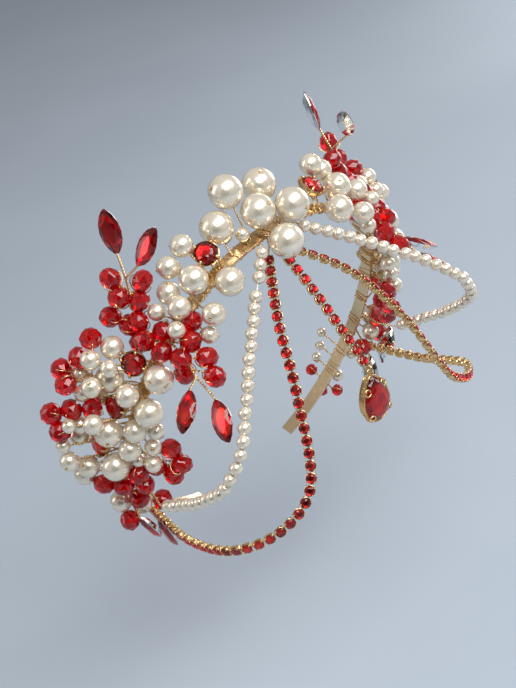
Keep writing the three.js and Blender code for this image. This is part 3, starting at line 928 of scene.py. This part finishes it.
def add_claw_setting(shape, axes, centre, size, collet, depth):
    """A brilliant (slot 0) in a gilt collet with four claws (slot 1) over a foil seat (slot 2)."""
    radius, wall = size / 2, collet / 2
    stone = brilliant(circle(radius), radius, ROUND_STONE["lift"] * radius, crown=SMALL_TABLE)
    shape.add(set_at(stone, axes, centre), 0, smooth=False)
    seat = [(corners, wide, up * radius, turn) for corners, wide, up, turn in ROUND_SEAT]
    shape.add(set_at(cut(circle(radius), seat), axes, centre), 2, smooth=False)
    cup = [(out * wall, up * depth) for out, up in COLLET]
    shape.add(set_at(turned(cup, COLLET_SIDES), axes, centre), 1, smooth=False)
    claw = [(out * wall, up * depth) for out, up in CLAW_LEG]
    claw += [(out * wall, up * radius) for out, up in CLAW_TIP]
    for quarter in range(4):
        turn = (quarter + 0.5) * math.pi / 2
        path = [(math.cos(turn) * r, math.sin(turn) * r, h) for r, h in claw]
        shape.add(set_at(swept(spline(path, CLAW_STEPS), CLAW_WIRE * wall), axes, centre), 1)


def make_round_stones():
    """Round stones in claw collets, each tied to the band by two twisted wires."""
    for side, sign in SIDES.items():
        for i, row in enumerate(ROUND_STONES, 1):
            shape = Shape()
            centre = mirrored(place(row["at"], row["round"], row["reach"]), sign)
            normal = mirrored(facing(row["at"], row["face"]), sign)
            sizes = (ROUND_STONE[key] for key in ("size", "collet", "depth"))
            add_claw_setting(shape, basis(normal), centre, *sizes)
            root = mirrored(band_point(row["at"], BAND["thickness"]), sign)
            foot = centre - normal * ROUND_STONE["depth"]
            for lean in (-ROUND_STONE["knot"], ROUND_STONE["knot"]):
                knot = root + np.array([lean, lean, 0])
                add_twist(shape, [foot, (centre + knot) / 2 + lean, knot], 1)
            name = f"{side}_round_stone_{i}"
            shape.build(f"{name}_set", [STONE, GOLD, FOIL], "red_glass", replaces=[name])


def make_navettes():
    """Pointed-oval stones (slot 0) with foil backs (slot 1) on twisted wire (slot 2)."""
    for side, sign in SIDES.items():
        for i, (base, tip) in enumerate(NAVETTES, 1):
            shape = Shape()
            low, high = mirrored(place(*base), sign), mirrored(place(*tip), sign)
            long = unit(high - low)
            across = unit(np.cross(long, mirrored(outward(base[0]), sign)))
            axes = np.stack([across, long, np.cross(across, long)])
            centre = (low + high) / 2
            stone = brilliant(navette_outline, NAVETTE["deep"], NAVETTE["lift"])
            shape.add(set_at(stone, axes, centre), 0, smooth=False)
            shape.add(set_at(cut(navette_outline, NAVETTE_BACK), axes, centre), 1, smooth=False)
            tang = low + long * NAVETTE["tang"] - axes[2] * NAVETTE["tang_drop"]
            name = f"{side}_navette_{i}"
            tips = [stem["way"][-1] for stems in STEMS.values() for stem in stems if i in stem["stones"]]
            for tip_spot in tips:
                fork = mirrored(place(*tip_spot), sign)
                bend = (fork + low) / 2 + unit(low - fork) * NAVETTE["bend"]
                add_twist(shape, [fork, bend, low, tang], 2, WIRE["radius"] * NAVETTE["stem"])
            shape.build(f"{name}_stone", [STONE, FOIL, GOLD], "red_glass", replaces=[name])


def make_pearl_strings():
    """Small pearls on a thread, which shows bare near the crown on the wearer's right."""
    rng = np.random.default_rng(SEEDS["strings"])
    size, stray = PEARL_STRING["size"], PEARL_STRING["stray"]
    for side, sign in SIDES.items():
        route = [mirrored(point, sign) for point in PEARL_ROUTE]
        total = length_of(route)
        path = spline(route, PEARL_STRING["steps"])
        shape = Shape()
        reach, count = size / 2, 0
        while reach < total - size / 2:
            index = int(reach / total * (len(path) - 1))
            ahead = path[min(index + 3, len(path) - 1)] - path[max(index - 3, 0)]
            axes = basis(unit(ahead) + rng.normal(0, stray, 3))
            own = size * rng.uniform(PEARL_STRING["least"], PEARL_STRING["most"])
            spot = path[index] + rng.normal(0, stray, 3)
            shape.add(set_at(pearl_solid(own, *PEARL_STRING["fine"]), axes, spot))
            count += 1
            bare = side == "right" and count == PEARL_STRING["gap_after"]
            reach += size + (PEARL_STRING["gap"] if bare else 0.0)
        shape.add(swept(path[::PEARL_STRING["every"]], PEARL_STRING["thread"]), 1)
        name = f"{side}_pearl_string"
        shape.build(f"{name}_beads", [PEARL, THREAD], "pearl", replaces=[name])


def make_chain(name, route, centre_of_turn):
    """Red stones in gilt cups that face away from a point inside, joined by short bars behind."""
    count = int(length_of(route) / CUP_CHAIN["pitch"])
    path = spline(route, count * 4 + 1)
    shape = Shape()
    for k in range(count):
        centre = path[4 * k + 2]
        ahead = unit(path[4 * k + 4] - path[4 * k])
        away = unit(centre - centre_of_turn)
        normal = unit(away - ahead * (away @ ahead))
        axes = np.stack([ahead, np.cross(normal, ahead), normal])
        sizes = (CUP_CHAIN[key] for key in ("stone", "cup", "depth"))
        add_claw_setting(shape, axes, centre + normal * CUP_CHAIN["lift"], *sizes)
        if k < count - 1:
            bar = [centre + ahead * on - normal * behind for on, behind in CHAIN_BAR]
            shape.add(swept(spline(bar, BAR_STEPS), CUP_CHAIN["bar"]), 1)
    shape.build(f"{name}_cups", [STONE, GOLD, FOIL], "red_glass", replaces=[name])


def make_chains():
    """The two swags, and the centre chain with the eye that the drop hangs from."""
    for side, sign in SIDES.items():
        make_chain(f"{side}_swag_chain", [mirrored(point, sign) for point in SWAG_ROUTE], SWAG_CENTRE)
    make_chain("centre_chain", CENTRE_ROUTE, HEAD_CENTRE)
    turns = np.linspace(0, 2 * math.pi, EYE["steps"])
    eye = np.stack([0 * turns, np.sin(turns), np.cos(turns)], 1) * EYE["radius"]
    eye_shape = Shape().add(swept(EYE_CENTRE + eye, EYE["wire"], EYE["sides"]))
    eye_shape.build("centre_chain_eye", [GOLD], "gilt")


def make_ties():
    """Twisted wire from the ends of the strings and chains to the band's front edge."""
    for side, sign in SIDES.items():
        shape = Shape()
        for tie in TIES:
            knot = band_point(tie["at"], BAND["thickness"] / 2, BAND["width"] / 2 + WIRE["radius"])
            add_twist(shape, [mirrored(spot, sign) for spot in (tie["end"], tie["by"], knot)])
        shape.build(f"{side}_ties", [GOLD], "gilt")
    start = np.array(CENTRE_ROUTE[0], float)
    knot = band_point(0, BAND["thickness"] / 2, BAND["width"] / 2 + WIRE["radius"])
    middle = Shape()
    add_twist(middle, [start, (start + knot) / 2 - (0, CENTRE_TIE_BULGE, 0), knot])
    middle.build("centre_tie", [GOLD], "gilt")


def make_drop():
    """The pear stone in its gallery with four ringed claws, hung by a link."""
    pivot = np.array(frame["joints"][0]["pos_m"]) / MM
    shape = Shape()
    length, width, rim = DROP["length"], DROP["width"], DROP["rim"]
    centre = pivot + np.array([0, -DROP["balance"], -2 * EYE["radius"] - length / 2 + DROP["bite"]])
    axes = np.array([[1, 0, 0], [0, 0, 1], [0, -1, 0]], float)
    inner, outer = pear_outline(length - 2 * rim, width - 2 * rim), pear_outline(length, width)
    stone = brilliant(inner, DROP["deep"], DROP["lift"], 20, PEAR_TABLE)
    shape.add(set_at(stone, axes, centre), 0, smooth=False)
    shape.add(set_at(cut(inner, PEAR_SEAT), axes, centre), 2, smooth=False)
    shape.add(set_at(cut(outer, PEAR_GALLERY), axes, centre), 1, smooth=False)

    def on_outline(turn, wide, up):
        x, y = outer(turn)
        return wide * x, wide * y, up

    turns = np.linspace(0, 2 * math.pi, DROP_STEPS)
    for wide, up, wire in PEAR_RAILS:
        rail = [on_outline(turn, wide, up) for turn in turns]
        shape.add(set_at(swept(rail, wire), axes, centre), 1)
    for turn in turns[:-1:3]:
        post = [on_outline(turn, *spot) for spot in PEAR_POST]
        shape.add(set_at(swept(post, DROP["post"], WIRE["sides"]), axes, centre), 1)
    ring = np.stack([np.cos(turns), np.sin(turns), 0 * turns], 1)[::3] * DROP["ring"]
    for degrees in PEAR_CLAWS:
        turn = math.radians(degrees)
        lean = basis(on_outline(turn, DROP["ring_lean"], 1.0))
        hub = on_outline(turn, *PEAR_HUB)
        shape.add(set_at(swept(ring @ lean + hub, DROP["ring_wire"]), axes, centre), 1)
        leg = [on_outline(turn, *spot) for spot in PEAR_LEG]
        shape.add(set_at(swept(spline(leg, LEG_STEPS), DROP["leg"]), axes, centre), 1)
    link = np.stack([np.sin(turns), 0 * turns, np.cos(turns) - 1], 1) * EYE["radius"]
    shape.add(swept(pivot + link, EYE["wire"], EYE["sides"]), 1)
    shape.build(
        "pear_drop_set", [STONE, GOLD, FOIL], "red_glass",
        body="drop", replaces=["pear_drop"], tilted=False,
    )


# Stage

def camera_axes():
    """Right, up and back of the camera."""
    azimuth, elevation, roll = (math.radians(CAMERA[key]) for key in ("azimuth", "elevation", "roll"))
    level = math.cos(elevation)
    back = Vector((math.sin(azimuth) * level, -math.cos(azimuth) * level, math.sin(elevation)))
    right = Vector((math.cos(azimuth), math.sin(azimuth), 0))
    up = back.cross(right)
    rolled_right = right * math.cos(roll) + up * math.sin(roll)
    rolled_up = up * math.cos(roll) - right * math.sin(roll)
    return rolled_right, rolled_up, back


def make_camera():
    right, up, back = camera_axes()
    camera = bpy.data.objects.new("camera", bpy.data.cameras.new("camera"))
    camera.matrix_world = Matrix((right, up, back)).transposed().to_4x4()
    camera.location = (Vector(CAMERA["aim"]) + back * CAMERA["distance"]) * MM
    camera.data.lens = CAMERA["lens"]
    camera.data.sensor_width = CAMERA["sensor"]
    camera.data.clip_start = CAMERA["near"]
    bpy.context.scene.collection.objects.link(camera)
    bpy.context.scene.camera = camera
    bpy.context.scene.view_settings.view_transform = "Standard"


def make_floor():
    size, z = FLOOR["half"], cad_box[0].z - FLOOR["below"]
    mesh = bpy.data.meshes.new("floor")
    corners = [(-size, -size, z), (size, -size, z), (size, size, z), (-size, size, z)]
    mesh.from_pydata(corners, [], [(0, 1, 2, 3)])
    mesh.materials.append(floor_material())
    floor = bpy.data.objects.new("floor", mesh)
    bpy.context.scene.collection.objects.link(floor)


def make_light(name, seen, distance, size, power):
    """A soft box in a direction given as right, up and back of the camera."""
    aim = Vector(CAMERA["aim"]) * MM
    towards = sum((axis * part for axis, part in zip(camera_axes(), seen)), Vector()).normalized()
    lamp = bpy.data.lights.new(name, "AREA")
    lamp.shape = "RECTANGLE"
    lamp.size, lamp.size_y = size
    lamp.energy = power
    light = bpy.data.objects.new(name, lamp)
    light.location = aim + towards * distance
    light.rotation_mode = "QUATERNION"
    light.rotation_quaternion = towards.to_track_quat("Z", "Y")
    bpy.context.scene.collection.objects.link(light)


def make_world():
    """A pale room with a darker patch where the photographer stands."""
    _, up, back = camera_axes()
    dark = (back - up * ROOM["low"]).normalized()
    world = bpy.data.worlds.new("studio")
    world.use_nodes = True
    tree = world.node_tree
    where = tree.nodes.new("ShaderNodeTexCoord")
    towards = tree.nodes.new("ShaderNodeVectorMath")
    towards.operation = "DOT_PRODUCT"
    towards.inputs[1].default_value = dark
    tree.links.new(where.outputs["Generated"], towards.inputs[0])
    patch = tree.nodes.new("ShaderNodeValToRGB")
    patch.color_ramp.elements[0].position = ROOM["fade"][0]
    patch.color_ramp.elements[0].color = (*ROOM["pale"], 1)
    patch.color_ramp.elements[1].position = ROOM["fade"][1]
    patch.color_ramp.elements[1].color = (*ROOM["dark"], 1)
    tree.links.new(towards.outputs["Value"], patch.inputs["Fac"])
    tree.links.new(patch.outputs["Color"], tree.nodes["Background"].inputs["Color"])
    tree.nodes["Background"].inputs["Strength"].default_value = ROOM["strength"]
    bpy.context.scene.world = world


def make_lights():
    for name, *row in LIGHTS:
        make_light(name, *row)
    make_world()


make_camera()
make_floor()
make_lights()
make_band()
make_wraps()
make_beads(settled_beads())
make_round_stones()
make_navettes()
make_pearl_strings()
make_chains()
make_ties()
make_drop()
